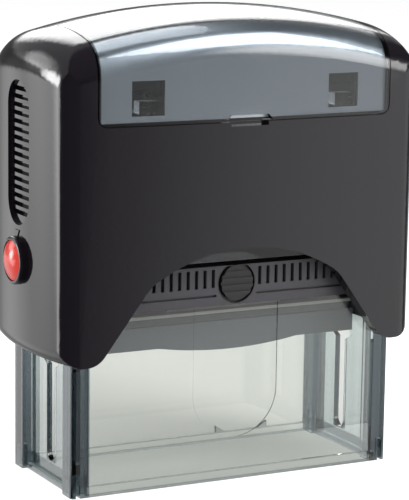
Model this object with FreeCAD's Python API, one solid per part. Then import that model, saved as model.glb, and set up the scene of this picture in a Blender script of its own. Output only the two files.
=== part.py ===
import FreeCAD, Part
import math
import os

# Self inking stamp. Millimetres, +Z up, origin under the middle of the base,
# X along the text lines, the front faces -Y. Everything is drawn at rest.

V = FreeCAD.Vector
os.makedirs("parts", exist_ok=True)

# Housing form: crowned walls under a barrel roof
HEIGHT = 103.4
HALF_WIDTH = 42.0
HALF_DEPTH = 19.5
SIDE_CROWN = 2.7
FRONT_CROWN = 1.3
SKIRT_Z = 29.3
ROOF_RADIUS_X = 150.0
ROOF_RADIUS_Y = 60.0
LONG_EDGE_R = 8.0
END_EDGE_R = 9.0
CORNER_R = 4.2
FOOT_EDGE_R = 3.5
WALL = 2.0
SIDE_X = HALF_WIDTH + SIDE_CROWN
FRONT_Y = HALF_DEPTH + FRONT_CROWN

# Clear base: it stands inside the housing's walls with room for the guide ribs
SHELL_TO_BASE_X = 5.7
SHELL_TO_BASE_Y = 4.9
BASE_X = SIDE_X - SHELL_TO_BASE_X
BASE_Y = FRONT_Y - SHELL_TO_BASE_Y
POST_WIDTH = 4.1
POST_DEPTH = 4.9
POST_X0 = BASE_X - POST_WIDTH
POST_Y0 = BASE_Y - POST_DEPTH
POST_TOP = 58.0
POST_EDGE_R = 1.0
POST_SLIT_X0 = BASE_X - 2.0
POST_SLIT_W = 1.0
POST_SLIT_DEPTH = 2.0
POST_SLIT_TOP = 5.0
PANE_T = 1.3
PANEL_T = 1.2
PANEL_SETBACK = 2.1
PANEL_X1 = BASE_X - PANEL_SETBACK
PANEL_X0 = PANEL_X1 - PANEL_T
PANEL_FLANGE_W = 0.9
PANEL_FLANGE_H = 1.2
LEDGE_W = 0.7
LEDGE_H = 2.2
LUG_MIDDLE_X = 17.6
LUG_SPAN = 13.4
LUG_W = 2.4
LUG_H = 1.5
DECK_Z0 = 49.0
DECK_Z1 = 51.0
UPSTAND_DROP = 1.5
SLOT_W = 4.1
SLOT_Z0 = 4.4
SLOT_Z1 = 36.5
WING_HALF_W = 4.0
WING_MIDDLE_Z = 28.1
WING_HALF_H = 1.5
WING_TIP_H = 3.5
SCOOP_HALF_W = 10.3
SCOOP_BOTTOM_Z = 9.6
SCOOP_DEPTH = 0.25

# Arch in the front and back walls
ARCH_TOP_Z = 52.6
ARCH_R = 40.8
ARCH_FOOT_INSET = 7.2
ARCH_FOOT_X = HALF_WIDTH - ARCH_FOOT_INSET
ARCH_SIDE_RUN = 11.9
ARCH_SHOULDER_X = ARCH_FOOT_X - ARCH_SIDE_RUN
ARCH_SHOULDER_R = 10.0
ARCH_FOOT_R = 5.0
LIP_GAP = 0.7
LIP_Y = BASE_Y + LIP_GAP
LIP_WIDTH = 1.8

# Guide ribs inside the housing's corners
GUIDE_GAP = 0.3
GUIDE_T = 1.4
END_RIB_Y = BASE_Y - 3.5
LONG_RIB_X = BASE_X - 2.0
END_RIB_RISE = 4.0
LONG_RIB_RISE = 2.0
GUIDE_DROP = 2.0

# Ink cartridge and pad
CARTRIDGE_GAP_X = 2.2
CARTRIDGE_GAP_Y = 0.1
CARTRIDGE_X = PANEL_X0 - CARTRIDGE_GAP_X
CARTRIDGE_Y = BASE_Y - CARTRIDGE_GAP_Y
CARTRIDGE_Z0 = 39.3
CARTRIDGE_Z1 = 48.0
CARTRIDGE_CORNER_R = 0.8
SHELF_T = 1.2
SHELF_Y0 = 6.0
SHELF_LAP = 1.0
VENT_X0 = 5.7
VENT_PITCH = 2.03
VENT_COUNT = 10
VENT_W = 0.8
VENT_Z0 = CARTRIDGE_Z0 + 4.0
VENT_Z1 = CARTRIDGE_Z1 - 0.7
VENT_DEPTH = 1.3
GROOVE_X0 = 4.9
GROOVE_X1 = CARTRIDGE_X - 6.5
GROOVE_Z0 = CARTRIDGE_Z0 + 1.95
GROOVE_H = 0.5
GROOVE_DEPTH = 0.7
KNOB_R = 3.85
KNOB_Z = CARTRIDGE_Z0 + 4.8
KNOB_RISE = 0.5
KNOB_Y = CARTRIDGE_Y + KNOB_RISE
KNOB_DISH_W = 0.6
KNOB_DISH_DEPTH = 0.8
KNOB_SINK = 0.4
KNOB_ROOT = 2.0
DISH_RIM = 0.2
RIDGE_PITCH = 1.5
RIDGE_H = 0.8
RAIL_INSET = 3.5
RAIL_X = CARTRIDGE_X - RAIL_INSET
RAIL_Y = 6.0
RAIL_GAP = 0.1
PAD_INSET_X = 2.3
PAD_INSET_Y = 3.5
PAD_X = CARTRIDGE_X - PAD_INSET_X
PAD_Y = CARTRIDGE_Y - PAD_INSET_Y
PAD_RECESS = 0.3
PAD_Z0 = CARTRIDGE_Z0 + PAD_RECESS
PAD_T = 5.8
PAD_Z1 = PAD_Z0 + PAD_T
PAD_GAP = 0.1
PAD_CORNER_R = 0.8

# Yoke and return springs: the yoke hangs from the roof by two posts with pegs
ROOF_TO_YOKE = 14.9
YOKE_T = 2.5
YOKE_Z1 = HEIGHT - ROOF_TO_YOKE
YOKE_Z0 = YOKE_Z1 - YOKE_T
YOKE_Y = 9.0
YOKE_CORNER_R = 3.0
YOKE_RIB_T = 1.6
YOKE_RIB_H = 2.5
ARM_GAP = 0.4
ARM_T = 1.4
ARM_X1 = PANEL_X0 - ARM_GAP
ARM_X0 = ARM_X1 - ARM_T
ARM_Y = 4.5
ARM_END_R = 3.3
ARM_TAPER_H = 4.0
ARM_NOTCH_GAP = 0.4
SPRING_X = 20.0
SPRING_R = 5.5
SPRING_WIRE = 0.9
SPRING_TURNS = 8.5
SPRING_GAP = 0.1
SPRING_POST_R = 4.5
SPRING_STUB_H = 3.5
SPRING_CUP_H = 4.0
YOKE_RIB_X = SPRING_X - SPRING_R - SPRING_WIRE
PEG_X = 28.0
PEG_R = 1.45
PEG_GAP = 0.05
PEG_POST_R = 3.5
PEG_REACH = YOKE_T + 0.8

# Rotor, drawn with the text plate up against the pad
TRAVEL = 26.0
FACE_R = 6.2
AXLE_Z = TRAVEL + FACE_R
AXLE_D = 3.0
AXLE_GAP = 0.05
AXLE_X = PANEL_X1 - ARM_GAP
AXLE_CHAMFER = 0.4
HOLDER_GAP_X = 2.4
HOLDER_GAP_Y = 2.6
HOLDER_X = ARM_X0 - HOLDER_GAP_X
HOLDER_Y = BASE_Y - PANE_T - HOLDER_GAP_Y
HOLDER_BACK = 2.0
HOLDER_WALL = 1.6
HOLDER_CELLS = 6
SKIRT_DROP = 1.5
SKIRT_X = 17.0
AXLE_TUBE_R = 2.6
HOLDER_FACE = 3.0
CUSHION_T = 1.6
DIE_INSET_X = 0.5
DIE_INSET_Y = 0.2
DIE_X = HOLDER_X - DIE_INSET_X
DIE_Y = HOLDER_Y - DIE_INSET_Y
DIE_PLATE_T = 0.7
LINE_HALF_LENGTHS = (26.0, 20.0, 26.0, 14.0)
LINE_PITCH = 5.4
LINE_H = 2.8
BOSS_GAP = 0.5
BOSS_X = ARM_X0 - BOSS_GAP
BOSS_R = 2.9

# Index window, card and their seat in the housing
WINDOW_INSET_X = 7.1
WINDOW_X = HALF_WIDTH - WINDOW_INSET_X
WINDOW_DROP = 23.4
WINDOW_Z0 = HEIGHT - WINDOW_DROP
WINDOW_Y1 = 1.0
WINDOW_T = 1.4
WINDOW_GAP = 0.25
WINDOW_CORNER_R = 2.0
CARD_T = 0.35
CARD_GAP = 0.05
CARD_INSET_X = 0.7
CARD_INSET_Y = 0.6
CARD_INSET_Z = 0.5
SEAT_INSET = WINDOW_T + CARD_T + 3 * CARD_GAP
SEAT_T = 1.5
SEAT_MARGIN = 1.5
CLIP_X = 23.4
CLIP_HOLE_W = 7.5
CLIP_HOLE_H = 7.4
CLIP_HOLE_RISE = 1.8
CLIP_HOLE_DEPTH = 6.9
CLIP_HOLE_Z0 = WINDOW_Z0 + CLIP_HOLE_RISE
CLIP_HOLE_Z1 = CLIP_HOLE_Z0 + CLIP_HOLE_H
HOOK_W = 4.3
HOOK_RISE = 0.5
HOOK_H = 2.6
HOOK_SINK = 0.9
HOOK_BASE_GAP = 0.3
HOOK_Z0 = CLIP_HOLE_Z0 + HOOK_RISE
HOOK_Z1 = HOOK_Z0 + HOOK_H
HOOK_Y = BASE_Y + HOOK_BASE_GAP
NOTCH_W = 11.2
NOTCH_TOP_W = 9.0
NOTCH_H = 1.25
PRY_DROP = 1.1
PRY_RISE = 2.0
PRY_DEPTH = 1.7

# Side grips
GRIP_W = 11.4
GRIP_Z0 = 57.2
GRIP_Z1 = 88.3
GRIP_DEPTH = 0.8
GRIP_BOTTOM = 1.9
GRIP_MARGIN = 0.9
GRIP_PITCH = 1.77
GRIP_SLOT_H = 1.0
GRIP_SLOTS = 16
GRIP_SLOT_Z = GRIP_Z0 + 2.6
GRIP_BACKING_T = 1.2
GRIP_BACKING_MARGIN = 1.0

# Lock buttons, as distances out from the middle
BUTTON_Z = 49.6
BUTTON_R = 4.35
BUTTON_RIM_X = SIDE_X + 1.3
BUTTON_TOP_X = SIDE_X + 2.7
BUTTON_INNER_X = SIDE_X - 0.7
BUTTON_TRAVEL = 2.2
POCKET_GAP = 0.6
POCKET_DEPTH = 1.8
STEM_ROOT = 0.4
BEZEL_R = 5.2
BEZEL_EDGE_R = 0.6
BEZEL_GAP = 0.05
BEZEL_TOP_X = SIDE_X + 1.5
BEZEL_SEAT_X = SIDE_X - 0.3
BEZEL_TUBE_R = 4.9
BEZEL_BORE_R = BUTTON_R + 0.1
BEZEL_FLOOR_T = 0.8
BEZEL_FLOOR_X0 = SIDE_X - 4.1
BEZEL_FLOOR_X1 = BEZEL_FLOOR_X0 + BEZEL_FLOOR_T
STEM_R = 1.5
STEM_BORE_GAP = 0.1
STEM_GAP = 0.5
STEM_END_X = PANEL_X1 + STEM_GAP + BUTTON_TRAVEL
STEM_LAND = 0.5
CLIP_GROOVE_DEPTH = 0.35
CLIP_RING_R = 2.6
CLIP_RING_T = 0.5
CLIP_MOUTH_W = 1.6
BUTTON_SPRING_R = 2.95
BUTTON_WIRE = 0.4
BUTTON_TURNS = 4.0
BUTTON_SPRING_GAP = 0.05
MARK_Z = BUTTON_Z + 5.7
MARK_HALF_W = 1.1
MARK_HALF_H = 0.9
MARK_SINK = 1.0
MARK_RISE = 0.2

# Margins of the cutting shapes, past every face that they go through
OVER = 1.0
FAR = 2 * HALF_WIDTH
NEAR = 0.1


def box(x0, x1, y0, y1, z0, z1):
    return Part.makeBox(x1 - x0, y1 - y0, z1 - z0, V(x0, y0, z0))


def rod_x(radius, x0, x1, y, z):
    return Part.makeCylinder(radius, x1 - x0, V(x0, y, z), V(1, 0, 0))


def rod_y(radius, y0, y1, x, z):
    return Part.makeCylinder(radius, y1 - y0, V(x, y0, z), V(0, 1, 0))


def rod_z(radius, z0, z1, x, y):
    return Part.makeCylinder(radius, z1 - z0, V(x, y, z0))


def mirror_x(shape):
    return shape.mirror(V(0, 0, 0), V(1, 0, 0))


def mirror_y(shape):
    return shape.mirror(V(0, 0, 0), V(0, 1, 0))


def with_mirror_x(shapes):
    return shapes + [mirror_x(s) for s in shapes]


def with_mirror_y(shapes):
    return shapes + [mirror_y(s) for s in shapes]


def four(shapes):
    return with_mirror_y(with_mirror_x(shapes))


def joined(shapes):
    return shapes[0].fuse(shapes[1:]).removeSplitter()


def polygon_along_y(points, y0, y1):
    """Extrude a closed outline of (x, z) points from y0 to y1."""
    corners = [V(x, y0, z) for x, z in points]
    face = Part.Face(Part.makePolygon(corners + [corners[0]]))
    return face.extrude(V(0, y1 - y0, 0))


def edges_where(shape, test):
    return [e for e in shape.Edges if test(e.BoundBox)]


def wall_disc(x, y, radius, z0):
    """Upright cylinder whose seam stays away from the middle of the wall."""
    disc = Part.makeCylinder(radius, HEIGHT + FAR - z0, V(x, y, z0))
    disc.rotate(V(x, y, 0), V(0, 0, 1), 90 if abs(x) > abs(y) else 0)
    return disc


def side_walls(inset, z0):
    """Space between the two crowned end walls."""
    radius = (HALF_DEPTH ** 2 + SIDE_CROWN ** 2) / (2 * SIDE_CROWN)
    x = SIDE_X - radius
    return wall_disc(x, 0, radius - inset, z0).common(wall_disc(-x, 0, radius - inset, z0))


def front_walls(inset, z0):
    """Space between the crowned front and back walls."""
    radius = (HALF_WIDTH ** 2 + FRONT_CROWN ** 2) / (2 * FRONT_CROWN)
    y = radius - FRONT_Y
    return wall_disc(0, y, radius - inset, z0).common(wall_disc(0, -y, radius - inset, z0))


def barrel(inset):
    """Solid of revolution about an axis along X whose top is the crowned roof."""
    radius = ROOF_RADIUS_X - inset
    axis_z = HEIGHT - ROOF_RADIUS_Y
    half = SIDE_X + 8 * OVER
    drop = radius - math.sqrt(radius ** 2 - half ** 2)
    low = 2 * axis_z - (HEIGHT - inset)
    ends = [V(-half, 0, low + drop), V(half, 0, low + drop)]
    arc = Part.Arc(ends[0], V(0, 0, low), ends[1]).toShape()
    sides = [
        Part.makeLine(ends[1], V(half, 0, axis_z)),
        Part.makeLine(V(half, 0, axis_z), V(-half, 0, axis_z)),
        Part.makeLine(V(-half, 0, axis_z), ends[0]),
    ]
    return Part.Face(Part.Wire([arc] + sides)).revolve(V(0, 0, axis_z), V(1, 0, 0), 360)


def form(inset, z0):
    """Housing form moved in by inset: two rolled roofs and a plan, intersected, so creases stay."""
    roof = barrel(inset)
    block = box(-FAR, FAR, -FRONT_Y - 3 * OVER, FRONT_Y + 3 * OVER, z0, HEIGHT + FAR)
    long_roll = front_walls(inset, z0).common(box(-SIDE_X - 3 * OVER, SIDE_X + 3 * OVER, -FAR, FAR, z0, HEIGHT + FAR))
    long_roll = long_roll.common(roof)
    top_long = edges_where(long_roll, lambda b: b.ZMin > ARCH_TOP_Z and b.XLength > HALF_WIDTH)
    long_roll = long_roll.makeFillet(LONG_EDGE_R - inset, top_long)
    end_roll = side_walls(inset, z0).common(block).common(roof)
    top_end = edges_where(end_roll, lambda b: b.ZMin > ARCH_TOP_Z and b.YLength > HALF_DEPTH and b.XLength < HALF_WIDTH)
    end_roll = end_roll.makeFillet(END_EDGE_R - inset, top_end)
    plan = side_walls(inset, z0).common(front_walls(inset, z0))
    upright = edges_where(plan, lambda b: b.XLength < OVER and b.YLength < OVER)
    plan = plan.makeFillet(CORNER_R - inset, upright)
    if inset == 0:
        foot = edges_where(end_roll, lambda b: b.ZMax < z0 + NEAR and b.YLength > HALF_DEPTH and b.XLength < HALF_WIDTH)
        end_roll = end_roll.makeFillet(FOOT_EDGE_R, foot)
    return long_roll.common(end_roll).common(plan)


OUTER = form(0, SKIRT_Z)


def layer(inset0, inset1):
    """Skin between two insets of the housing form."""
    outside = OUTER if inset0 == 0 else form(inset0, SKIRT_Z)
    return outside.cut(form(inset1, SKIRT_Z - OVER))


def arch_space():
    """Opening through both long walls: top arc, rounded shoulders, slanted sides, flared feet."""
    shoulder_z = ARCH_TOP_Z - ARCH_R + math.sqrt(ARCH_R ** 2 - ARCH_SHOULDER_X ** 2)
    y0 = -FRONT_Y - 3 * OVER
    left = V(-ARCH_SHOULDER_X, y0, shoulder_z)
    right = V(ARCH_SHOULDER_X, y0, shoulder_z)
    points = [
        right,
        V(ARCH_FOOT_X, y0, SKIRT_Z),
        V(SIDE_X + 3 * OVER, y0, SKIRT_Z),
        V(SIDE_X + 3 * OVER, y0, SKIRT_Z - 4 * OVER),
        V(-SIDE_X - 3 * OVER, y0, SKIRT_Z - 4 * OVER),
        V(-SIDE_X - 3 * OVER, y0, SKIRT_Z),
        V(-ARCH_FOOT_X, y0, SKIRT_Z),
        left,
    ]
    lines = [Part.makeLine(a, b) for a, b in zip(points, points[1:])]
    arc = Part.Arc(left, V(0, y0, ARCH_TOP_Z), right).toShape()
    solid = Part.Face(Part.Wire(lines + [arc])).extrude(V(0, -2 * y0, 0))
    shoulders = edges_where(solid, lambda b: b.YLength > FRONT_Y and abs(b.ZMin - shoulder_z) < NEAR)
    solid = solid.makeFillet(ARCH_SHOULDER_R, shoulders)
    feet = edges_where(
        solid, lambda b: b.YLength > FRONT_Y and abs(b.ZMin - SKIRT_Z) < NEAR and abs(abs(b.XMin) - ARCH_FOOT_X) < NEAR
    )
    return solid.makeFillet(ARCH_FOOT_R, feet)


def arch_lip(space):
    """Rim that runs in from the wall around the arch and along the feet."""
    front = min(space.Faces, key=lambda f: f.CenterOfMass.y)
    grown = front.OuterWire.makeOffset2D(LIP_WIDTH)
    y0 = -FRONT_Y - 3 * OVER
    band = Part.Face(grown).extrude(V(0, -y0 - LIP_Y, 0))
    band = band.common(OUTER)
    return with_mirror_y([band])


def window_region(grow):
    """Area that the window covers, grown by a gap on every side."""
    x = WINDOW_X + grow
    z0 = WINDOW_Z0 - grow
    block = box(-x, x, -FAR, WINDOW_Y1 + grow, z0, HEIGHT + FAR)
    corners = edges_where(block, lambda b: b.YLength > HALF_DEPTH and b.ZMax < z0 + NEAR)
    return block.makeFillet(WINDOW_CORNER_R + grow, corners)


def clip_holes():
    half = CLIP_HOLE_W / 2
    y0 = -FRONT_Y - OVER
    hole = box(CLIP_X - half, CLIP_X + half, y0, -FRONT_Y + CLIP_HOLE_DEPTH, CLIP_HOLE_Z0, CLIP_HOLE_Z1)
    return with_mirror_x([hole])


def grip_cut():
    """Stadium recess on the right side with its row of slots."""
    r = GRIP_W / 2
    x0 = SIDE_X - 3 * WALL
    x1 = SIDE_X + 2 * OVER
    tall = box(x0, x1, -r, r, GRIP_Z0 + r, GRIP_Z1 - r)
    ends = [rod_x(r, x0, x1, 0, z) for z in (GRIP_Z0 + r, GRIP_Z1 - r)]
    stadium = joined([tall] + ends)
    recess = stadium.common(layer(0, GRIP_DEPTH))
    slot_area = stadium.common(box(SIDE_X - GRIP_BOTTOM, x1, -r + GRIP_MARGIN, r - GRIP_MARGIN, 0, HEIGHT))
    slots = []
    for i in range(GRIP_SLOTS):
        z = GRIP_SLOT_Z + i * GRIP_PITCH
        bar = box(x0, x1, -r, r, z - GRIP_SLOT_H / 2, z + GRIP_SLOT_H / 2)
        slots.append(bar.common(slot_area))
    return [recess] + slots


def grip_backing():
    """Thicker wall behind the grip slots."""
    half = GRIP_W / 2 + GRIP_BACKING_MARGIN
    z0 = GRIP_Z0 - GRIP_BACKING_MARGIN
    return box(SIDE_X - WALL - GRIP_BACKING_T, SIDE_X - WALL / 2, -half, half, z0, GRIP_Z1 + GRIP_BACKING_MARGIN)


def guide_ribs():
    """Ribs inside the corners that run along the base's posts."""
    top = YOKE_Z0 - GUIDE_DROP
    end_rib = box(BASE_X + GUIDE_GAP, SIDE_X, END_RIB_Y, END_RIB_Y + GUIDE_T, SKIRT_Z + END_RIB_RISE, top)
    long_rib = box(LONG_RIB_X, LONG_RIB_X + GUIDE_T, BASE_Y + GUIDE_GAP, FRONT_Y, SKIRT_Z + LONG_RIB_RISE, top)
    return four([end_rib, long_rib])


def yoke_posts():
    """Posts that stand down from the roof onto the yoke, each with a peg through it."""
    post = rod_z(PEG_POST_R, YOKE_Z1, HEIGHT, PEG_X, 0)
    peg = rod_z(PEG_R, YOKE_Z1 - PEG_REACH, YOKE_Z1 + OVER, PEG_X, 0)
    return with_mirror_x([joined([post, peg])])


def side_mark():
    """Small raised pointer above the right lock button."""
    x0 = SIDE_X - MARK_SINK
    top = MARK_Z + MARK_HALF_H
    points = [V(x0, -MARK_HALF_W, top), V(x0, MARK_HALF_W, top), V(x0, 0, MARK_Z - MARK_HALF_H)]
    face = Part.Face(Part.makePolygon(points + [points[0]]))
    return face.extrude(V(MARK_SINK + MARK_RISE, 0, 0))


def outer_housing():
    inside = form(WALL / 2, SKIRT_Z)
    space = arch_space()
    seat = window_region(SEAT_MARGIN).common(form(SEAT_INSET, SKIRT_Z)).cut(form(SEAT_INSET + SEAT_T, SKIRT_Z))
    fillers = guide_ribs() + yoke_posts() + with_mirror_x([grip_backing()])
    parts = [layer(0, WALL), seat] + arch_lip(space) + [f.common(inside) for f in fillers]
    body = joined(parts + with_mirror_x([side_mark()]))
    recess = window_region(WINDOW_GAP).common(layer(0, SEAT_INSET))
    pry = box(-NOTCH_TOP_W / 2, NOTCH_TOP_W / 2, -FAR, 0, WINDOW_Z0 - PRY_DROP, WINDOW_Z0 + PRY_RISE)
    pry = pry.common(layer(0, PRY_DEPTH))
    well = rod_x(BEZEL_R + BEZEL_GAP, BEZEL_SEAT_X, SIDE_X + 5 * OVER, 0, BUTTON_Z)
    bore = rod_x(BEZEL_TUBE_R + BEZEL_GAP, BASE_X, SIDE_X + 5 * OVER, 0, BUTTON_Z)
    cuts = [space, recess, pry] + clip_holes() + with_mirror_x([well, bore] + grip_cut())
    for cut in cuts:
        body = body.cut(cut)
    return body.removeSplitter()


def index_window():
    """Clear cover that wraps over the roof's front half, with a pry notch and two hooks."""
    cover = window_region(0).common(layer(0, WINDOW_T))
    half = NOTCH_W / 2
    top = NOTCH_TOP_W / 2
    z0 = WINDOW_Z0
    low = z0 - OVER
    outline = [(-half, low), (half, low), (half, z0), (top, z0 + NOTCH_H), (-top, z0 + NOTCH_H), (-half, z0)]
    cover = cover.cut(polygon_along_y(outline, -FAR, 0))
    hook = box(CLIP_X - HOOK_W / 2, CLIP_X + HOOK_W / 2, -FRONT_Y + HOOK_SINK, -HOOK_Y, HOOK_Z0, HOOK_Z1)
    return joined([cover] + with_mirror_x([hook]))


def index_card():
    """Card under the window, with a cut-out for each hook."""
    half = WINDOW_X - CARD_INSET_X
    area = box(-half, half, -FAR, WINDOW_Y1 - CARD_INSET_Y, WINDOW_Z0 + CARD_INSET_Z, HEIGHT)
    card = area.common(layer(WINDOW_T + CARD_GAP, WINDOW_T + CARD_GAP + CARD_T))
    for hole in clip_holes():
        card = card.cut(hole)
    return card


def base_shell():
    """Posts, panes, end panels, deck and the shelves that carry the cartridge."""
    inner_y = BASE_Y - PANE_T
    posts = four([box(POST_X0, BASE_X, POST_Y0, BASE_Y, 0, POST_TOP)])
    pane = box(-POST_X0, POST_X0, inner_y, BASE_Y, 0, CARTRIDGE_Z0)
    ledge = box(-POST_X0, POST_X0, inner_y - LEDGE_W, inner_y, 0, LEDGE_H)
    upstand = box(-POST_X0, POST_X0, inner_y, BASE_Y, DECK_Z1, POST_TOP - UPSTAND_DROP)
    panel = box(PANEL_X0, PANEL_X1, -POST_Y0, POST_Y0, 0, DECK_Z1)
    flange = box(PANEL_X1, PANEL_X1 + PANEL_FLANGE_W, -POST_Y0, POST_Y0, 0, PANEL_FLANGE_H)
    deck = box(-PANEL_X0, PANEL_X0, -BASE_Y, BASE_Y, DECK_Z0, DECK_Z1)
    shelf_z = CARTRIDGE_Z0 - SHELF_T
    shelf_y = POST_Y0 + SHELF_LAP
    shelf = box(CARTRIDGE_X - SHELF_T, PANEL_X0, SHELF_Y0, shelf_y, shelf_z, CARTRIDGE_Z0)
    guide = box(CARTRIDGE_X + CARTRIDGE_GAP_Y, PANEL_X0, SHELF_Y0, shelf_y, shelf_z, DECK_Z0)
    stub = rod_z(SPRING_POST_R, DECK_Z1, DECK_Z1 + SPRING_STUB_H, SPRING_X, 0)
    walls = with_mirror_y([pane, ledge, upstand]) + with_mirror_x([panel, flange, stub]) + four([shelf, guide])
    return joined(posts + [deck] + walls + ledge_lugs())


def ledge_lugs():
    """Two wedges on the back ledge, each rising away from the notch between them."""
    lugs = []
    for side in (-1, 1):
        tip = LUG_MIDDLE_X + side * LUG_SPAN / 2
        outline = [(tip, LEDGE_H), (tip, LEDGE_H + LUG_H), (tip - side * LUG_W, LEDGE_H)]
        lugs.append(polygon_along_y(outline, BASE_Y - PANE_T - LEDGE_W, BASE_Y - PANE_T))
    return lugs


def axle_slot():
    """Upright slot in the right end panel, with a pair of wings where the rotor's cam turns."""
    half = SLOT_W / 2
    x0 = PANEL_X0 - 3 * OVER
    x1 = BASE_X + OVER
    straight = box(x0, x1, -half, half, SLOT_Z0 + half, SLOT_Z1)
    foot = rod_x(half, x0, x1, 0, SLOT_Z0 + half)
    reach = WING_MIDDLE_Z - WING_TIP_H
    peak = WING_MIDDLE_Z + WING_TIP_H
    low = WING_MIDDLE_Z - WING_HALF_H
    high = WING_MIDDLE_Z + WING_HALF_H
    w = WING_HALF_W
    outline = [(0, reach), (w, low), (w, high), (0, peak), (-w, high), (-w, low)]
    corners = [V(x0, y, z) for y, z in outline]
    wings = Part.Face(Part.makePolygon(corners + [corners[0]])).extrude(V(x1 - x0, 0, 0))
    return joined([straight, foot, wings])


def thumb_scoop():
    """Shallow tongue in the front pane, round at the bottom and open at the top."""
    y0 = -BASE_Y - OVER
    y1 = -BASE_Y + SCOOP_DEPTH
    z = SCOOP_BOTTOM_Z + SCOOP_HALF_W
    return joined([rod_y(SCOOP_HALF_W, y0, y1, 0, z), box(-SCOOP_HALF_W, SCOOP_HALF_W, y0, y1, z, CARTRIDGE_Z0 + OVER)])


def base_frame():
    """Clear moulding with its slots cut and its outer posts rounded."""
    body = base_shell()
    y = ARM_Y + ARM_NOTCH_GAP
    notch = box(CARTRIDGE_X + CARTRIDGE_GAP_Y, PANEL_X0, -y, y, DECK_Z0 - OVER, DECK_Z1 + OVER)
    slit_y = BASE_Y - POST_SLIT_DEPTH
    slit = box(POST_SLIT_X0, POST_SLIT_X0 + POST_SLIT_W, slit_y, BASE_Y + OVER, -OVER, POST_SLIT_TOP)
    for cut in with_mirror_x([notch, axle_slot()]) + four([slit]) + [thumb_scoop()]:
        body = body.cut(cut)
    outer_posts = edges_where(
        body, lambda b: b.ZLength > DECK_Z0 and abs(abs(b.XMin) - BASE_X) < NEAR and abs(abs(b.YMin) - BASE_Y) < NEAR
    )
    return body.makeFillet(POST_EDGE_R, outer_posts).removeSplitter()


def knob_area(y0, y1, z0, z1):
    """Block around the knob that its disc and dish are kept to."""
    x = 2 * KNOB_R
    return box(-x, x, y0, y1, z0, z1)


def cartridge_face():
    """Front fascia cuts and knob of the cartridge: vent slots, long grooves, ridged round knob."""
    y0 = -CARTRIDGE_Y - OVER
    slots = []
    for i in range(VENT_COUNT):
        x = VENT_X0 + i * VENT_PITCH
        slots.append(box(x - VENT_W / 2, x + VENT_W / 2, y0, -CARTRIDGE_Y + VENT_DEPTH, VENT_Z0, VENT_Z1))
    groove = box(GROOVE_X0, GROOVE_X1, y0, -CARTRIDGE_Y + GROOVE_DEPTH, GROOVE_Z0, GROOVE_Z0 + GROOVE_H)
    dish = rod_y(KNOB_R + KNOB_DISH_W, y0, -CARTRIDGE_Y + KNOB_DISH_DEPTH, 0, KNOB_Z)
    dish = dish.common(knob_area(y0, 0, 0, CARTRIDGE_Z1 - DISH_RIM))
    disc = rod_y(KNOB_R, -KNOB_Y + KNOB_SINK, -CARTRIDGE_Y + KNOB_ROOT, 0, KNOB_Z)
    ridges = []
    for i in range(4):
        z = KNOB_Z + (i - 1.5) * RIDGE_PITCH
        ridge = box(-KNOB_R, KNOB_R, -KNOB_Y, -KNOB_Y + OVER, z - RIDGE_H / 2, z + RIDGE_H / 2)
        ridges.append(ridge.common(rod_y(KNOB_R, -KNOB_Y, -KNOB_Y + OVER, 0, KNOB_Z)))
    knob = joined([disc] + ridges).common(knob_area(-FAR, FAR, CARTRIDGE_Z0, CARTRIDGE_Z1))
    return with_mirror_x(slots + [groove]) + [dish], [knob]


def ink_cartridge():
    body = box(-CARTRIDGE_X, CARTRIDGE_X, -CARTRIDGE_Y, CARTRIDGE_Y, CARTRIDGE_Z0, CARTRIDGE_Z1)
    body = body.makeFillet(CARTRIDGE_CORNER_R, edges_where(body, lambda b: b.ZLength > OVER))
    x = PAD_X + PAD_GAP
    y = PAD_Y + PAD_GAP
    body = body.cut(box(-x, x, -y, y, CARTRIDGE_Z0 - OVER, PAD_Z1))
    rail = box(-RAIL_X, RAIL_X, -RAIL_Y, RAIL_Y, CARTRIDGE_Z1, DECK_Z0 - RAIL_GAP)
    cuts, knobs = cartridge_face()
    for cut in with_mirror_y(cuts):
        body = body.cut(cut)
    return joined([body, rail] + with_mirror_y(knobs))


def ink_pad():
    pad = box(-PAD_X, PAD_X, -PAD_Y, PAD_Y, PAD_Z0, PAD_Z1)
    return pad.makeFillet(PAD_CORNER_R, edges_where(pad, lambda b: b.ZLength > OVER))


def yoke():
    """Bridge under the roof with two arms that carry the axle."""
    bar = box(-ARM_X1, ARM_X1, -YOKE_Y, YOKE_Y, YOKE_Z0, YOKE_Z1)
    bar = bar.makeFillet(YOKE_CORNER_R, edges_where(bar, lambda b: b.ZLength > OVER))
    rib = box(-YOKE_RIB_X, YOKE_RIB_X, -YOKE_RIB_T / 2, YOKE_RIB_T / 2, YOKE_Z0 - YOKE_RIB_H, YOKE_Z0)
    arm = box(ARM_X0, ARM_X1, -ARM_Y, ARM_Y, AXLE_Z + ARM_TAPER_H, YOKE_Z1)
    eye = rod_x(ARM_END_R, ARM_X0, ARM_X1, 0, AXLE_Z)
    cup = rod_z(SPRING_POST_R, YOKE_Z0 - SPRING_CUP_H, YOKE_Z0, SPRING_X, 0)
    body = joined([bar, rib] + with_mirror_x([arm, arm_taper(), eye, cup]))
    bore = rod_x(AXLE_D / 2 + AXLE_GAP, ARM_X0 - OVER, ARM_X1 + OVER, 0, AXLE_Z)
    peg_hole = rod_z(PEG_R + PEG_GAP, YOKE_Z0 - OVER, YOKE_Z1 + OVER, PEG_X, 0)
    for cut in with_mirror_x([bore, peg_hole]):
        body = body.cut(cut)
    return body


def arm_taper():
    """Taper from the arm's full width down to its round eye."""
    top = AXLE_Z + ARM_TAPER_H
    outline = [(-ARM_Y, top), (ARM_Y, top), (ARM_END_R, AXLE_Z), (-ARM_END_R, AXLE_Z)]
    corners = [V(ARM_X0, y, z) for y, z in outline]
    return Part.Face(Part.makePolygon(corners + [corners[0]])).extrude(V(ARM_X1 - ARM_X0, 0, 0))


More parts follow.
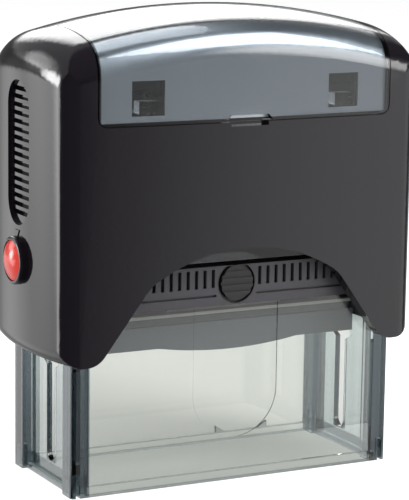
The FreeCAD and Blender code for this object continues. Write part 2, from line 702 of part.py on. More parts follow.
def holder_skirt():
    """Front skirt of the die holder, whose free edge is bowed down in the middle."""
    z0 = AXLE_Z - HOLDER_BACK
    radius = (SKIRT_X ** 2 + SKIRT_DROP ** 2) / (2 * SKIRT_DROP)
    disc = rod_y(radius, -HOLDER_Y, -HOLDER_Y + HOLDER_WALL, 0, z0 - SKIRT_DROP + radius)
    return disc.common(box(-HOLDER_X, HOLDER_X, -FAR, 0, 0, AXLE_Z))


def die_holder():
    """Moulded block with a ribbed back, bowed skirts, turning bosses and the axle bore."""
    z0 = AXLE_Z - HOLDER_BACK
    z1 = AXLE_Z + HOLDER_FACE
    body = box(-HOLDER_X, HOLDER_X, -HOLDER_Y, HOLDER_Y, z0, z1)
    pitch = (2 * HOLDER_X - HOLDER_WALL) / HOLDER_CELLS
    y1 = HOLDER_Y - HOLDER_WALL
    for i in range(HOLDER_CELLS):
        x0 = -HOLDER_X + HOLDER_WALL + i * pitch
        pocket = box(x0, x0 + pitch - HOLDER_WALL, AXLE_TUBE_R, y1, z0 - OVER, z1 - HOLDER_WALL)
        for cut in with_mirror_y([pocket]):
            body = body.cut(cut)
    tube = rod_x(AXLE_TUBE_R, -HOLDER_X, HOLDER_X, 0, AXLE_Z)
    bosses = with_mirror_x([rod_x(BOSS_R, HOLDER_X - OVER, BOSS_X, 0, AXLE_Z)])
    body = joined([body, tube] + with_mirror_y([holder_skirt()]) + bosses)
    return body.cut(rod_x(AXLE_D / 2, -FAR, FAR, 0, AXLE_Z))


def rotor_axle():
    axle = rod_x(AXLE_D / 2, -AXLE_X, AXLE_X, 0, AXLE_Z)
    return axle.makeChamfer(AXLE_CHAMFER, edges_where(axle, lambda b: b.XLength < NEAR))


def die_cushion():
    z0 = AXLE_Z + HOLDER_FACE
    return box(-DIE_X, DIE_X, -DIE_Y, DIE_Y, z0, z0 + CUSHION_T)


def text_die():
    """Rubber plate with plain raised bars in place of lines of text."""
    z0 = AXLE_Z + HOLDER_FACE + CUSHION_T
    plate = box(-DIE_X, DIE_X, -DIE_Y, DIE_Y, z0, z0 + DIE_PLATE_T)
    bars = []
    for row, half_length in enumerate(LINE_HALF_LENGTHS):
        y = (1.5 - row) * LINE_PITCH
        bars.append(box(-half_length, half_length, y - LINE_H / 2, y + LINE_H / 2, z0, AXLE_Z + FACE_R))
    return joined([plate] + bars)


def coil(radius, wire, turns, length):
    """Helical wire standing on z = 0, its centre line length high."""
    helix = Part.makeHelix(length / turns, length, radius)
    section = Part.Wire(Part.makeCircle(wire / 2, V(radius, 0, 0), V(0, 1, 0)))
    return Part.Wire(helix).makePipeShell([section], True, True)


def return_spring():
    """Right return spring, between the deck and the yoke."""
    clear = SPRING_WIRE / 2 + SPRING_GAP
    length = YOKE_Z0 - DECK_Z1 - 2 * clear
    spring = coil(SPRING_R, SPRING_WIRE, SPRING_TURNS, length)
    spring.translate(V(SPRING_X, 0, DECK_Z1 + clear))
    return spring


def button_bezel():
    """Right bezel: a ring standing out of the wall on a cup with a drilled floor."""
    flange = rod_x(BEZEL_R, BEZEL_SEAT_X, BEZEL_TOP_X, 0, BUTTON_Z)
    flange = flange.makeFillet(BEZEL_EDGE_R, edges_where(flange, lambda b: b.XMin > BEZEL_TOP_X - NEAR))
    tube = rod_x(BEZEL_TUBE_R, BEZEL_FLOOR_X0, BEZEL_SEAT_X, 0, BUTTON_Z)
    body = joined([flange, tube])
    body = body.cut(rod_x(BEZEL_BORE_R, BEZEL_FLOOR_X1, BEZEL_TOP_X + OVER, 0, BUTTON_Z))
    return body.cut(rod_x(STEM_R + STEM_BORE_GAP, BEZEL_FLOOR_X0 - OVER, BEZEL_FLOOR_X1 + OVER, 0, BUTTON_Z))


def lock_button():
    """Right lock button: domed head over a spring pocket, with a stem."""
    rise = BUTTON_TOP_X - BUTTON_RIM_X
    dome_r = (BUTTON_R ** 2 + rise ** 2) / (2 * rise)
    head = rod_x(BUTTON_R, BUTTON_INNER_X, BUTTON_TOP_X + OVER, 0, BUTTON_Z)
    head = head.common(Part.makeSphere(dome_r, V(BUTTON_TOP_X - dome_r, 0, BUTTON_Z)))
    floor_x = BUTTON_INNER_X + POCKET_DEPTH
    pocket = rod_x(BUTTON_SPRING_R + POCKET_GAP, BUTTON_INNER_X - OVER, floor_x, 0, BUTTON_Z)
    stem = rod_x(STEM_R, STEM_END_X, floor_x + STEM_ROOT, 0, BUTTON_Z)
    x0 = STEM_END_X + STEM_LAND
    groove = rod_x(STEM_R + OVER, x0, x0 + CLIP_RING_T, 0, BUTTON_Z)
    groove = groove.cut(rod_x(STEM_R - CLIP_GROOVE_DEPTH, STEM_END_X, x0 + 2 * CLIP_RING_T, 0, BUTTON_Z))
    return joined([head.cut(pocket), stem]).cut(groove)


def button_clip():
    """Right retaining ring in the stem's groove, open on one side."""
    x0 = STEM_END_X + STEM_LAND
    ring = rod_x(CLIP_RING_R, x0, x0 + CLIP_RING_T, 0, BUTTON_Z)
    ring = ring.cut(rod_x(STEM_R - CLIP_GROOVE_DEPTH, x0 - OVER, x0 + CLIP_RING_T + OVER, 0, BUTTON_Z))
    half = CLIP_MOUTH_W / 2
    return ring.cut(box(x0 - OVER, x0 + CLIP_RING_T + OVER, -half, half, BUTTON_Z - 2 * CLIP_RING_R, BUTTON_Z))


def button_spring():
    """Right button spring, between the bezel's floor and the button's pocket."""
    clear = BUTTON_WIRE / 2 + BUTTON_SPRING_GAP
    length = BUTTON_INNER_X + POCKET_DEPTH - BEZEL_FLOOR_X1 - 2 * clear
    spring = coil(BUTTON_SPRING_R, BUTTON_WIRE, BUTTON_TURNS, length)
    spring.rotate(V(0, 0, 0), V(0, 1, 0), 90)
    spring.translate(V(BEZEL_FLOOR_X1 + clear, 0, BUTTON_Z))
    return spring


SINGLE = {
    "base_frame": base_frame,
    "ink_cartridge": ink_cartridge,
    "ink_pad": ink_pad,
    "outer_housing": outer_housing,
    "index_window": index_window,
    "index_card": index_card,
    "yoke": yoke,
    "die_holder": die_holder,
    "rotor_axle": rotor_axle,
    "die_cushion": die_cushion,
    "text_die": text_die,
}
PAIRED = {
    "return_spring": return_spring,
    "button_bezel": button_bezel,
    "lock_button": lock_button,
    "button_clip": button_clip,
    "button_spring": button_spring,
}


def save(name, shape):
    print(name, shape.isValid(), len(shape.Solids), round(shape.Volume, 1), flush=True)
    shape.exportStep("parts/" + name + ".step")


for name, make in SINGLE.items():
    save(name, make())
for name, make in PAIRED.items():
    right = make()
    save(name + "_right", right)
    save(name + "_left", mirror_x(right))
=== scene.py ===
import math

import bmesh
import bpy
import numpy as np
from mathutils import Matrix, Vector


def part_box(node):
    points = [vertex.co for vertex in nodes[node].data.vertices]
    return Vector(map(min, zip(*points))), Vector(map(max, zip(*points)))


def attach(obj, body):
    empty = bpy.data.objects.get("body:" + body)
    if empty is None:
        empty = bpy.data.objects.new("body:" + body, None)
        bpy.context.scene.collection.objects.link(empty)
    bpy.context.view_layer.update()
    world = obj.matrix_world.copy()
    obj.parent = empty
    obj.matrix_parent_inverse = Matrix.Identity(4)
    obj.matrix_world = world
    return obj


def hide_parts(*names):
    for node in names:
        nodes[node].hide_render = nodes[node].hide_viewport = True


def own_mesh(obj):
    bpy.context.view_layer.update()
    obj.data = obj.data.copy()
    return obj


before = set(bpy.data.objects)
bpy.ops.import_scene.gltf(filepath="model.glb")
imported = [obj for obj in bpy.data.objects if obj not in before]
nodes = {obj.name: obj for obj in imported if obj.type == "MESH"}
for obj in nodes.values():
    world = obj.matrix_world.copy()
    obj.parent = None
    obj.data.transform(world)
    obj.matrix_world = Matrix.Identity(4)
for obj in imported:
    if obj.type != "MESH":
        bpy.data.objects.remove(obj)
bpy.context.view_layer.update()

# Studio: the stamp stands on a white sweep, between soft boxes, in a room that is dark
# towards the lens. A long lens looks at it from its left front, a little above the roof.
camera_place = Vector((-0.23113, -0.44605, 0.14104))
camera_aim = Vector((0.0, 0.0, 0.046))
camera_roll = math.radians(0.81)
forward = (camera_aim - camera_place).normalized()
level_right = forward.cross(Vector((0, 0, 1))).normalized()
level_up = level_right.cross(forward)
camera_right = level_right * math.cos(camera_roll) + level_up * math.sin(camera_roll)
camera_up = level_up * math.cos(camera_roll) - level_right * math.sin(camera_roll)
camera = bpy.data.objects.new("camera", bpy.data.cameras.new("camera"))
camera.data.lens = 165.3
camera.data.sensor_width = 36.0
camera.data.shift_x = 0.0023
camera.data.shift_y = 0.0226
camera.data.clip_start = 0.01
camera.data.clip_end = 20.0
camera_frame = Matrix((camera_right, camera_up, -forward)).transposed().to_4x4()
camera.matrix_world = Matrix.Translation(camera_place) @ camera_frame
bpy.context.scene.collection.objects.link(camera)
bpy.context.scene.camera = camera
bpy.context.scene.view_settings.view_transform = "Standard"


def add_node(tree, kind, **values):
    """New node of a tree; plain words set its properties, and inputs= sets its sockets."""
    node = tree.nodes.new(kind)
    inputs = values.pop("inputs", {})
    for key, value in values.items():
        setattr(node, key, value)
    for key, value in inputs.items():
        if isinstance(value, bpy.types.NodeSocket):
            tree.links.new(value, node.inputs[key])
        else:
            node.inputs[key].default_value = value
    return node


def maths(tree, operation, a, b=0.0, clamp=False):
    """Result of one sum of a and b."""
    node = add_node(tree, "ShaderNodeMath", operation=operation, use_clamp=clamp, inputs={0: a, 1: b})
    return node.outputs[0]


def mixed(tree, mask, under, over):
    """Number that goes from under to over as the mask goes from 0 to 1."""
    return add_node(
        tree, "ShaderNodeMix", data_type="FLOAT", inputs={0: mask, 2: under, 3: over}
    ).outputs[0]


def ramp(tree, value, low, high, at_low=0.0, at_high=1.0):
    """Smooth step: at_low below low, at_high above high."""
    step = add_node(
        tree, "ShaderNodeMapRange", interpolation_type="SMOOTHSTEP",
        inputs={"Value": value, "From Min": low, "From Max": high, "To Min": at_low, "To Max": at_high},
    )
    return step.outputs["Result"]


def patch(tree, direction, centre, wide, narrow, strength):
    """Round soft light seen in a direction: full inside narrow degrees, gone past wide degrees."""
    aim = Vector(centre).normalized()
    product = add_node(
        tree, "ShaderNodeVectorMath", operation="DOT_PRODUCT", inputs={0: direction, 1: aim}
    )
    outer = math.cos(math.radians(wide))
    inner = math.cos(math.radians(narrow))
    return ramp(tree, product.outputs["Value"], outer, inner, 0.0, strength)


world = bpy.data.worlds.new("studio")
world.use_nodes = True
bpy.context.scene.world = world
sky = world.node_tree
sky.nodes.clear()
paths = add_node(sky, "ShaderNodeLightPath")
look = add_node(sky, "ShaderNodeTexCoord").outputs["Generated"]
look_xyz = add_node(sky, "ShaderNodeSeparateXYZ", inputs={0: look})

# What polished faces mirror: a room that brightens away from the lens, and soft boxes. Each
# box has its direction, the angles in degrees where it ends and where it is full, and its strength.
room_dark, room_bright = 0.05, 0.45
seen = ramp(sky, look_xyz.outputs["Y"], 0.02, 0.38, room_dark, room_bright)
soft_boxes = {
    "beyond the right of the front": ((0.80, -0.60, -0.20), 39, 8, 1.28),
    "behind the left side": ((-0.56, 0.81, -0.19), 34, 10, 1.05),
    "left side, higher": ((-0.70, 0.70, 0.08), 20, 3, 1.40),
    "left shoulder": ((-0.58, 0.74, 0.33), 17, 5, 2.60),
    "roof": ((0.30, 0.80, 0.50), 27, 12, 5.00),
    "left corner's edge": ((-0.88, 0.46, -0.10), 15, 6, 3.80),
}
for box in soft_boxes.values():
    seen = maths(sky, "ADD", seen, patch(sky, look, *box))

# The room is darker in a band round the horizon, and two small boxes stand in front of the band.
band_height, band_level = 0.07, 0.22
off_level = maths(sky, "ABSOLUTE", maths(sky, "SUBTRACT", look_xyz.outputs["Z"], band_height))
seen = maths(sky, "MULTIPLY", seen, ramp(sky, off_level, 0.07, 0.16, band_level, 1.0))
small_boxes = {
    "left corner of the shoulder": ((-0.80, 0.59, 0.10), 12, 4, 14.0),
    "bend of the cover": ((0.60, -0.77, 0.16), 15, 6, 7.0),
}
for box in small_boxes.values():
    seen = maths(sky, "ADD", seen, patch(sky, look, *box))

# Seen straight or through clear plastic the room is white, and light that has been mirrored under
# the clear plastic finds a dark ceiling. Matt faces get one even level from all round.
mirrored_inside = maths(
    sky, "MULTIPLY", paths.outputs["Is Transmission Ray"],
    maths(sky, "GREATER_THAN", paths.outputs["Glossy Depth"], 0.5),
)
dark_ceiling = ramp(sky, look_xyz.outputs["Z"], 0.30, 0.60, 1.0, 0.10)
open_level = mixed(sky, mirrored_inside, 1.0, dark_ceiling)
open_rays = maths(sky, "MAXIMUM", paths.outputs["Is Camera Ray"], paths.outputs["Is Transmission Ray"])
soft_fill = 0.55
level = mixed(sky, paths.outputs["Is Glossy Ray"], soft_fill, seen)
level = mixed(sky, open_rays, level, open_level)
background = add_node(sky, "ShaderNodeBackground", inputs={"Color": (1, 1, 1, 1), "Strength": level})
add_node(sky, "ShaderNodeOutputWorld", inputs={"Surface": background.outputs[0]})


def panel_light(name, place, aim, size, power):
    """Soft lamp turned towards a point; polished faces don't mirror it."""
    lamp = bpy.data.lights.new(name, "AREA")
    lamp.shape = "RECTANGLE"
    lamp.size, lamp.size_y = size
    lamp.energy = power
    holder = bpy.data.objects.new(name, lamp)
    holder.location = place
    holder.rotation_euler = (Vector(aim) - Vector(place)).to_track_quat("-Z", "Y").to_euler()
    holder.visible_glossy = False
    bpy.context.scene.collection.objects.link(holder)


panel_light("key_panel", (0.35, -0.45, 0.60), (0, 0, 0.05), (0.45, 0.45), 6.0)
panel_light("fill_panel", (-0.70, -0.35, 0.35), (0, 0, 0.05), (0.5, 0.5), 2.5)
panel_light("top_panel", (0.0, 0.15, 0.80), (0, 0, 0.05), (0.6, 0.6), 4.0)


def plain_mesh(name, points, faces, smooth=True):
    """New object from a list of points and a list of faces, each a list of point numbers."""
    mesh = bpy.data.meshes.new(name)
    mesh.from_pydata(np.asarray(points).tolist(), [], [list(face) for face in faces])
    mesh.polygons.foreach_set("use_smooth", [smooth] * len(mesh.polygons))
    obj = bpy.data.objects.new(name, mesh)
    bpy.context.scene.collection.objects.link(obj)
    return obj


floor_half = 3.0
floor_corners = [(x * floor_half, y * floor_half, 0) for x, y in ((-1, -1), (1, -1), (1, 1), (-1, 1))]
floor = plain_mesh("floor", floor_corners, [(0, 1, 2, 3)], smooth=False)
floor.visible_glossy = False
floor_material = bpy.data.materials.new("white_sweep")
floor_material.use_nodes = True
sweep = floor_material.node_tree
sweep.nodes.clear()
sweep_glow, sweep_glow_through_plastic, sweep_grey = 0.72, 0.08, 0.42
floor_paths = add_node(sweep, "ShaderNodeLightPath")
floor_direct = maths(sweep, "MULTIPLY", floor_paths.outputs["Is Camera Ray"], sweep_glow)
floor_through = maths(
    sweep, "MULTIPLY", floor_paths.outputs["Is Transmission Ray"], sweep_glow_through_plastic
)
glow = add_node(
    sweep, "ShaderNodeEmission",
    inputs={"Color": (1, 1, 1, 1), "Strength": maths(sweep, "MAXIMUM", floor_direct, floor_through)},
)
matt = add_node(sweep, "ShaderNodeBsdfDiffuse", inputs={"Color": (*[sweep_grey] * 3, 1)})
both = add_node(sweep, "ShaderNodeAddShader", inputs={0: glow.outputs[0], 1: matt.outputs[0]})
add_node(sweep, "ShaderNodeOutputMaterial", inputs={"Surface": both.outputs[0]})
floor.data.materials.append(floor_material)


# Outer housing and button bezels: thick-walled injection mouldings in gloss black plastic.
# The mould is polished, so the walls carry a faint orange peel and no grain.
def surface_group():
    """Moulded skin: fine ripple of the polished mould, faint flow marks and a little dust."""
    group = bpy.data.node_groups.new("moulded_skin", "ShaderNodeTree")
    for name, start in (("Roughness", 0.1), ("Spread", 0.05), ("Ripple", 0.1), ("Scale", 900.0)):
        socket = group.interface.new_socket(name, in_out="INPUT", socket_type="NodeSocketFloat")
        socket.default_value = start
    group.interface.new_socket("Roughness", in_out="OUTPUT", socket_type="NodeSocketFloat")
    group.interface.new_socket("Normal", in_out="OUTPUT", socket_type="NodeSocketVector")
    group.interface.new_socket("Dust", in_out="OUTPUT", socket_type="NodeSocketFloat")
    given = group.nodes.new("NodeGroupInput")
    out = group.nodes.new("NodeGroupOutput")
    place = add_node(group, "ShaderNodeTexCoord").outputs["Object"]
    flow = add_node(group, "ShaderNodeTexNoise", inputs={"Vector": place, "Scale": 60.0, "Detail": 4.0})
    smear = maths(group, "SUBTRACT", flow.outputs["Fac"], 0.5)
    rough = maths(group, "MULTIPLY", smear, maths(group, "MULTIPLY", given.outputs["Spread"], 2.0))
    rough = maths(group, "ADD", rough, given.outputs["Roughness"], clamp=True)
    peel = add_node(
        group, "ShaderNodeTexNoise",
        inputs={"Vector": place, "Scale": given.outputs["Scale"], "Detail": 3.0},
    )
    bump = add_node(
        group, "ShaderNodeBump",
        inputs={"Strength": given.outputs["Ripple"], "Distance": 0.00005, "Height": peel.outputs["Fac"]},
    )
    specks = add_node(group, "ShaderNodeTexVoronoi", inputs={"Vector": place, "Scale": 420.0})
    dust = ramp(group, specks.outputs["Distance"], 0.06, 0.02)
    group.links.new(rough, out.inputs["Roughness"])
    group.links.new(bump.outputs["Normal"], out.inputs["Normal"])
    group.links.new(dust, out.inputs["Dust"])
    return group


moulded_skin = surface_group()


def moulded(name, colour, roughness, spread=0.04, ripple=0.15, scale=900.0, **plain):
    """Plastic finish whose roughness and normal come from the moulded skin."""
    material = bpy.data.materials.new(name)
    material.use_nodes = True
    tree = material.node_tree
    shader = tree.nodes["Principled BSDF"]
    skin = add_node(
        tree, "ShaderNodeGroup", node_tree=moulded_skin,
        inputs={"Roughness": roughness, "Spread": spread, "Ripple": ripple, "Scale": scale},
    )
    tree.links.new(skin.outputs["Roughness"], shader.inputs["Roughness"])
    tree.links.new(skin.outputs["Normal"], shader.inputs["Normal"])
    if isinstance(colour, tuple):
        lighter = tuple(min(c * 1.12 + 0.004, 1.0) for c in colour)
        tint = add_node(
            tree, "ShaderNodeMix", data_type="RGBA",
            inputs={0: skin.outputs["Dust"], 6: (*colour, 1), 7: (*lighter, 1)},
        )
        tree.links.new(tint.outputs[2], shader.inputs["Base Color"])
    for key, value in plain.items():
        shader.inputs[key.replace("_", " ")].default_value = value
    return material


def dress(node, material):
    """Give a moulding or metal piece its one finish."""
    nodes[node].data.materials.clear()
    nodes[node].data.materials.append(material)


sides = {"left": -1, "right": 1}
gloss_black = moulded("gloss_black", (0.0080, 0.0065, 0.0090), 0.09, IOR=1.52)
for side in sides:
    dress("button_bezel_" + side, gloss_black)


def polished(name, node, body):
    """Copy of a moulding with its triangles joined, so that light runs smoothly over its rounded edges.

    Each corner's normal is the mean of the faces around it, weighted by area; edges that turn
    more than sharp_angle stay sharp."""
    sharp_angle = math.radians(50)
    mesh = nodes[node].data.copy()
    work = bmesh.new()
    work.from_mesh(mesh)
    bmesh.ops.remove_doubles(work, verts=work.verts, dist=2e-6)
    bmesh.ops.dissolve_degenerate(work, edges=work.edges, dist=1e-6)
    for face in work.faces:
        face.smooth = True
    for edge in work.edges:
        edge.smooth = len(edge.link_faces) == 2 and edge.calc_face_angle(0.0) < sharp_angle
    work.to_mesh(mesh)
    work.free()
    if "custom_normal" in mesh.attributes:
        mesh.attributes.remove(mesh.attributes["custom_normal"])
    copy = bpy.data.objects.new(name, mesh)
    bpy.context.scene.collection.objects.link(copy)
    weighted = copy.modifiers.new("weighted_normals", "WEIGHTED_NORMAL")
    weighted.keep_sharp = True
    weighted.weight = 50
    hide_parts(node)
    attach(copy, body)
    return copy


shell = polished("polished_housing", "outer_housing", "housing")
shell.data.materials.clear()
shell.data.materials.append(gloss_black)

# Index window: clear styrene cover over the front half of the roof, polished, snapped in
# by two hooks, with a notch for a fingernail. Painted shade darkens its cut edges and the gap.
def mixed_colour(tree, mask, under, over):
    """Colour that goes from under to over as the mask goes from 0 to 1."""
    return add_node(
        tree, "ShaderNodeMix", data_type="RGBA", inputs={0: mask, 6: under, 7: over}
    ).outputs[2]


def above(tree, value, edge, fade):
    """Mask that rises from 0 at the edge to 1 at edge + fade."""
    return ramp(tree, value, edge, edge + fade)


def below(tree, value, edge, fade):
    """Mask that falls from 1 at edge - fade to 0 at the edge."""
    return ramp(tree, value, edge, edge - fade)


def all_of(tree, *masks):
    """Mask that is 1 where every one of the masks is 1."""
    product = masks[0]
    for mask in masks[1:]:
        product = maths(tree, "MULTIPLY", product, mask)
    return product


def object_place(tree):
    """A point's place on the object: the vector, and its X, Y and Z."""
    vector = add_node(tree, "ShaderNodeTexCoord").outputs["Object"]
    parts = add_node(tree, "ShaderNodeSeparateXYZ", inputs={0: vector})
    return vector, parts.outputs["X"], parts.outputs["Y"], parts.outputs["Z"]


def paint_over(material, mask, colour):
    """Lay a second colour over the material's own where the mask is 1."""
    tree = material.node_tree
    shader = tree.nodes["Principled BSDF"]
    own = shader.inputs["Base Color"].links[0].from_socket
    tree.links.new(mixed_colour(tree, mask, own, (*colour, 1)), shader.inputs["Base Color"])


def clear_plastic(name, colour, roughness, lamp_tint, **plain):
    """Clear moulding: glass for the eye, and a plain tint for the light that falls through it."""
    material = moulded(name, colour, roughness, 0.01, 0.04, 500.0, Transmission_Weight=1.0, **plain)
    tree = material.node_tree
    shader = tree.nodes["Principled BSDF"]
    paths = add_node(tree, "ShaderNodeLightPath")
    lamps = maths(tree, "MAXIMUM", paths.outputs["Is Shadow Ray"], paths.outputs["Is Diffuse Ray"])
    open_way = add_node(tree, "ShaderNodeBsdfTransparent", inputs={"Color": (*lamp_tint, 1)})
    both = add_node(
        tree, "ShaderNodeMixShader", inputs={0: lamps, 1: shader.outputs[0], 2: open_way.outputs[0]}
    )
    tree.links.new(both.outputs[0], tree.nodes["Material Output"].inputs["Surface"])
    return material


clear_cover = clear_plastic("clear_cover", (0.66, 0.69, 0.71), 0.02, (0.80, 0.84, 0.86), IOR=1.57)
cover_low, cover_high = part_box("index_window")
cover_edge, cover_fade = 0.0006, 0.0002
tree = clear_cover.node_tree
_, x, _, z = object_place(tree)
foot_of_cover = below(tree, z, cover_low.z + cover_edge, cover_fade)
side_of_cover = above(tree, maths(tree, "ABSOLUTE", x), cover_high.x - cover_edge, cover_fade)
painted_edge_shade = maths(tree, "MAXIMUM", foot_of_cover, side_of_cover)
# Painted shade: the cover's foot and side edges are painted near black.
paint_over(clear_cover, painted_edge_shade, (0.03, 0.035, 0.04))
dress("index_window", clear_cover)

# Index card: thin silver-coated card, bent over the roof's edge and held by the window,
# with a cut-out for each of the window's hooks.
silver_card = moulded("silver_card", (0.36, 0.385, 0.415), 0.30, 0.06, 0.4, 2500.0, Metallic=0.9)
dress("index_card", silver_card)

# Base frame: clear moulding that stands on the paper. Light passes the thin panes; the thick corner
# posts, the cut edges and the walls of the axle's slots, which trap it, are painted dark as painted shade.
post_inner_x, post_inner_y = 0.0349, 0.0110
pane_inner_y = 0.0146
ledge_top, ledge_lugs_top = 0.0022, 0.0039
deck_bottom = 0.0490
slot_half, slot_low, slot_high = 0.00205, 0.0044, 0.0365
foot_line, end_foot_line = 0.0004, 0.0026
clear_base = clear_plastic("clear_base", None, 0.015, (0.90, 0.92, 0.90), IOR=1.54)
tree = clear_base.node_tree
place, x, y, z = object_place(tree)
away_x = maths(tree, "ABSOLUTE", x)
away_y = maths(tree, "ABSOLUTE", y)
in_end = above(tree, away_x, post_inner_x - 0.0002, 0.0004)
in_post = all_of(tree, in_end, above(tree, away_y, post_inner_y - 0.0002, 0.0004))

# Flow lines run up the walls, so each tint goes between two shades along upright streaks.
streak_place = add_node(
    tree, "ShaderNodeMapping", inputs={"Vector": place, "Scale": (420.0, 420.0, 14.0)}
).outputs[0]
streaks = add_node(tree, "ShaderNodeTexNoise", inputs={"Vector": streak_place, "Scale": 1.0, "Detail": 2.0})
streak = streaks.outputs["Fac"]
pane_tint = mixed_colour(tree, streak, (0.93, 0.955, 0.915, 1), (0.965, 0.985, 0.95, 1))
end_tint = mixed_colour(tree, streak, (0.45, 0.55, 0.58, 1), (0.90, 0.94, 0.92, 1))
# Painted shade: the thick corner posts are tinted near black for the light they trap.
painted_post_shade = mixed_colour(tree, streak, (0.006, 0.012, 0.018, 1), (0.060, 0.085, 0.105, 1))
tint = mixed_colour(tree, in_end, pane_tint, end_tint)
tint = mixed_colour(tree, in_post, tint, painted_post_shade)
tree.links.new(tint, tree.nodes["Principled BSDF"].inputs["Base Color"])

# Painted shade: dark bands along the ledge's edges and the feet, where the cut edges trap light.
ledge_edge = all_of(
    tree,
    above(tree, z, ledge_top - 0.0004, 0.0002),
    below(tree, z, ledge_lugs_top, 0.0001),
    below(tree, away_y, pane_inner_y - 0.0003, 0.0001),
)
foot_edge = below(tree, z, foot_line, 0.0001)
end_foot_edge = all_of(tree, in_end, below(tree, z, end_foot_line, 0.0004))
foot_edge = maths(tree, "MAXIMUM", foot_edge, end_foot_edge)
edge = maths(tree, "MAXIMUM", ledge_edge, foot_edge)
edge_shade_strength = 0.80
paint_over(clear_base, maths(tree, "MULTIPLY", edge, edge_shade_strength), (0.10, 0.14, 0.16))
# Painted shade: the base above the deck's underside lies inside the housing and is painted dark for its
# shadow.
paint_over(clear_base, above(tree, z, deck_bottom - 0.0004, 0.0004), (0.045, 0.047, 0.050))
# Painted shade: the walls of the axle's slots, seen against the dark inside, are painted near black.
painted_slot_shade = all_of(
    tree,
    in_end,
    below(tree, away_y, slot_half + 0.0003, 0.0002),
    above(tree, z, slot_low - 0.0003, 0.0002),
    below(tree, z, slot_high + 0.0003, 0.0002),
)
paint_over(clear_base, painted_slot_shade, (0.010, 0.022, 0.028))
dress("base_frame", clear_base)

# Ink cartridge: satin charcoal tray that slides in over the panes and holds the pad.
# Its round pull knob is painted darker than the slotted front round it.
knob_height, knob_radius = 0.0441, 0.0047
satin_charcoal = moulded("satin_charcoal", (0.048, 0.045, 0.052), 0.38, 0.08, 0.3, 1600.0)
tree = satin_charcoal.node_tree
_, x, _, z = object_place(tree)
up = maths(tree, "SUBTRACT", z, knob_height)
square = maths(tree, "ADD", maths(tree, "MULTIPLY", x, x), maths(tree, "MULTIPLY", up, up))
on_knob = below(tree, maths(tree, "SQRT", square), knob_radius, 0.0002)
paint_over(satin_charcoal, on_knob, (0.014, 0.013, 0.015))
dress("ink_cartridge", satin_charcoal)

# Die holder and yoke: satin inner mouldings. The grey holder is the rotor that carries the
# text plate, and the black yoke is the bridge, fixed in the housing, whose arms carry its axle.
satin_grey = moulded("satin_grey", (0.085, 0.093, 0.106), 0.35, 0.08, 0.3, 1600.0)
dress("die_holder", satin_grey)
satin_black = moulded("satin_black", (0.020, 0.020, 0.022), 0.35, 0.08, 0.3, 1600.0)
dress("yoke", satin_black)

# Text plate, cushion and ink pad: the plate is grey rubber with plain raised bars, on a sheet
# of foam glued to the holder. The pad is felt, cut square, soaked and held in the cartridge.
die_rubber = moulded("die_rubber", (0.36, 0.355, 0.35), 0.55, 0.08, 0.5, 1800.0)
dress("text_die", die_rubber)
foam = moulded("foam", (0.10, 0.10, 0.11), 0.9, 0.05, 1.0, 1200.0)
felt = moulded("felt", (0.012, 0.012, 0.016), 0.85, 0.05, 1.0, 1500.0)


def soft_slab(name, node, squareness, crown):
    """Slab filling a node's box: a super-ellipse in plan and edge, with slightly crowned faces.

    Each coordinate is the half size times the signed power of a cosine or sine."""
    low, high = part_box(node)
    half = np.array((high - low) / 2)
    middle = np.array((high + low) / 2)
    around, across = 160, 40
    u = np.linspace(0, 2 * np.pi, around, endpoint=False)[None, :]
    v = np.linspace(-np.pi / 2, np.pi / 2, across)[1:-1, None]

    def power(value):
        return np.sign(value) * np.abs(value) ** squareness

    x = power(np.cos(v)) * power(np.cos(u))
    y = power(np.cos(v)) * power(np.sin(u))
    z = power(np.sin(v)) * np.ones_like(u)
    z = z * (1 - crown * (x ** 4 + y ** 4) / 2)
    points = np.stack([x, y, z], axis=-1).reshape(-1, 3)
    points = np.vstack([points, [[0, 0, -1]], [[0, 0, 1]]]) * half + middle
    rows = across - 2
    i, j = np.meshgrid(np.arange(rows - 1), np.arange(around), indexing="ij")
    k = (j + 1) % around
    walls = np.stack(
        [i * around + j, i * around + k, (i + 1) * around + k, (i + 1) * around + j], axis=-1
    ).reshape(-1, 4)
    ring = np.arange(around)
    top = (rows - 1) * around
    under = np.stack([np.full(around, rows * around), (ring + 1) % around, ring], axis=-1)
    over = np.stack([np.full(around, rows * around + 1), top + ring, top + (ring + 1) % around], axis=-1)
    return plain_mesh(name, points, walls.tolist() + under.tolist() + over.tolist())


felt_block = soft_slab("felt_block", "ink_pad", 0.08, 0.04)
felt_block.data.materials.append(felt)
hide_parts("ink_pad")
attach(felt_block, "base")
foam_sheet = soft_slab("foam_sheet", "die_cushion", 0.05, 0.02)
foam_sheet.data.materials.append(foam)
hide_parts("die_cushion")
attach(foam_sheet, "rotor")

# Springs, axle and clips: drawn steel wire and bar. The coils are wound on a mandrel,
# with their end turns closed up so that they stand square on their seats.
steel = moulded("steel", (0.50, 0.50, 0.52), 0.28, 0.08, 0.2, 3000.0, Metallic=1.0)
for node in ("rotor_axle", "button_clip_left", "button_clip_right"):
    dress(node, steel)


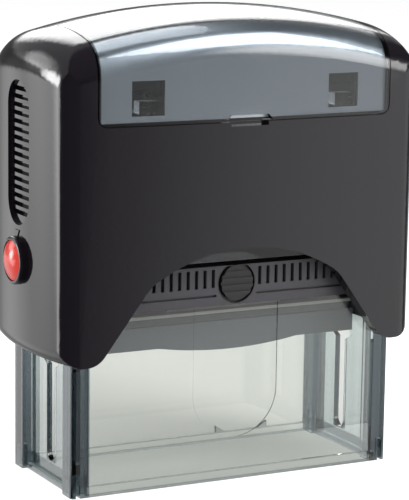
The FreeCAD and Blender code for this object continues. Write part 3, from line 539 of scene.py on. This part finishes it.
def wound_wire(name, radius, wire, turns, low, high, along, centre):
    """Round wire carried along a helix from low to high on the axis named by along.

    The helix turns evenly; its height follows a smooth step mixed with a straight rise,
    so the end turns lie closer. The ends are closed by a middle point each."""
    rings_a_turn, facets = 26, 10
    rings = int(turns * rings_a_turn)
    t = np.linspace(0, 1, rings)[:, None]
    round_wire = np.linspace(0, 2 * np.pi, facets, endpoint=False)[None, :]
    angle = 2 * np.pi * turns * t
    rise = 0.55 * t + 0.45 * t * t * (3 - 2 * t)
    height = low + wire / 2 + (high - low - wire) * rise
    out = radius + wire / 2 * np.cos(round_wire)
    points = np.stack(
        [out * np.cos(angle), out * np.sin(angle), height + wire / 2 * np.sin(round_wire)], axis=-1
    ).reshape(-1, 3)
    middles = points.reshape(rings, facets, 3)[[0, -1]].mean(1)
    points = np.vstack([points, middles])
    i, j = np.meshgrid(np.arange(rings - 1), np.arange(facets), indexing="ij")
    k = (j + 1) % facets
    walls = np.stack(
        [i * facets + j, (i + 1) * facets + j, (i + 1) * facets + k, i * facets + k], axis=-1
    ).reshape(-1, 4)
    ring = np.arange(facets)
    last = (rings - 1) * facets
    first_cap = np.stack([np.full(facets, rings * facets), (ring + 1) % facets, ring], axis=-1)
    last_cap = np.stack(
        [np.full(facets, rings * facets + 1), last + ring, last + (ring + 1) % facets], axis=-1
    )
    turn = {"z": [0, 1, 2], "x": [2, 0, 1]}[along]
    points = points[:, turn] + np.array(centre)
    return plain_mesh(name, points, walls.tolist() + last_cap.tolist() + first_cap.tolist())


deck_top, yoke_under = 0.0510, 0.0860
return_radius, return_wire, return_turns = 0.0055, 0.0009, 9.0
for side in sides:
    node = "return_spring_" + side
    low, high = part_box(node)
    middle_x = (low.x + high.x) / 2
    spring = wound_wire(
        "return_coil_" + side, return_radius, return_wire, return_turns,
        deck_top, yoke_under, "z", (middle_x, 0, 0),
    )
    spring.data.materials.append(steel)
    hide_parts(node)
    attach(spring, "base")
    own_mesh(spring)

# Button springs: small coils between the housing's pocket and the button's head. They stay on
# the housing and are pressed together as the button goes in.
button_floor_x, button_pocket_x = 0.0414, 0.0458
button_radius, button_wire, button_turns = 0.00295, 0.0004, 4.0
for side, sign in sides.items():
    node = "button_spring_" + side
    low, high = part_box(node)
    middle_z = (low.z + high.z) / 2
    near, far = sorted((sign * button_floor_x, sign * button_pocket_x))
    spring = wound_wire(
        "button_coil_" + side, button_radius, button_wire, button_turns, near, far, "x", (0, 0, middle_z)
    )
    spring.data.materials.append(steel)
    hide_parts(node)
    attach(spring, "housing")
    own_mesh(spring)

# Lock buttons: small domed pushers moulded in gloss red plastic, one in each end's bezel.
# A steel clip on the stem keeps each from being pushed out by its spring.
gloss_red = moulded("gloss_red", (0.78, 0.06, 0.045), 0.16, 0.05, 0.2)
for side in sides:
    dress("lock_button_" + side, gloss_red)
